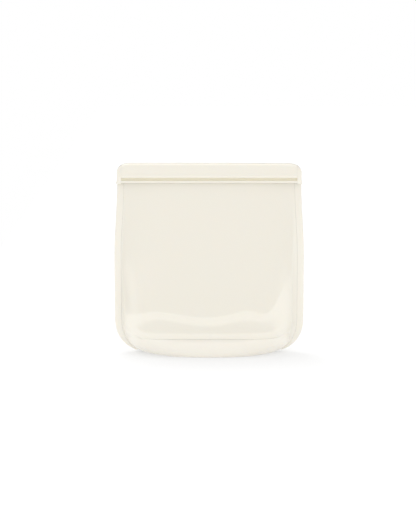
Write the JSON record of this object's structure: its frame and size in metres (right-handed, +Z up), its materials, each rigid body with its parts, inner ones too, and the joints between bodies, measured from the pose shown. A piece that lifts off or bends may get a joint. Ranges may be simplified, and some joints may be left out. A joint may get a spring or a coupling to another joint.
{
  "type": "reusable silicone bag",
  "caption": "Stand-up silicone food bag with an oval gusseted base, two soft walls, bonded side seams and a press-to-close band that opens its mouth.",
  "frame": {"origin": "centre of the base's underside, on the ground", "axes": "+Z up, -Y towards the front wall, +X along the width to the right side seam as seen from the front"},
  "size_m": [0.2, 0.06, 0.202],
  "materials": {
    "silicone_wall": "satin",
    "silicone_foot": "satin",
    "silicone_band": "matte",
    "silicone_track": "matte",
    "silicone_seam": "satin"
  },
  "bodies": {
    "base": {"front_heel": "silicone_foot", "back_heel": "silicone_foot", "base_gusset": "silicone_foot", "left_seam": "silicone_seam", "right_seam": "silicone_seam", "left_end_stop": "silicone_band", "right_end_stop": "silicone_band"},
    "front_wall": {"front_panel": "silicone_wall", "front_band": "silicone_band", "front_track": "silicone_track"},
    "back_wall": {"back_panel": "silicone_wall", "back_band": "silicone_band", "back_track": "silicone_track"}
  },
  "joints": [
    {"name": "mouth_front", "type": "hinge", "parent": "base", "child": "front_wall", "pos_m": [0, -0.0305, 0.0195], "axis": [1, 0, 0], "range_deg": [0, 14]},
    {"name": "mouth_back", "type": "hinge", "parent": "base", "child": "back_wall", "pos_m": [0, 0.0305, 0.0195], "axis": [-1, 0, 0], "range_deg": [0, 14]}
  ],
  "couplings": [
    {"joint": "mouth_back", "follows": "mouth_front", "ratio": 1}
  ]
}
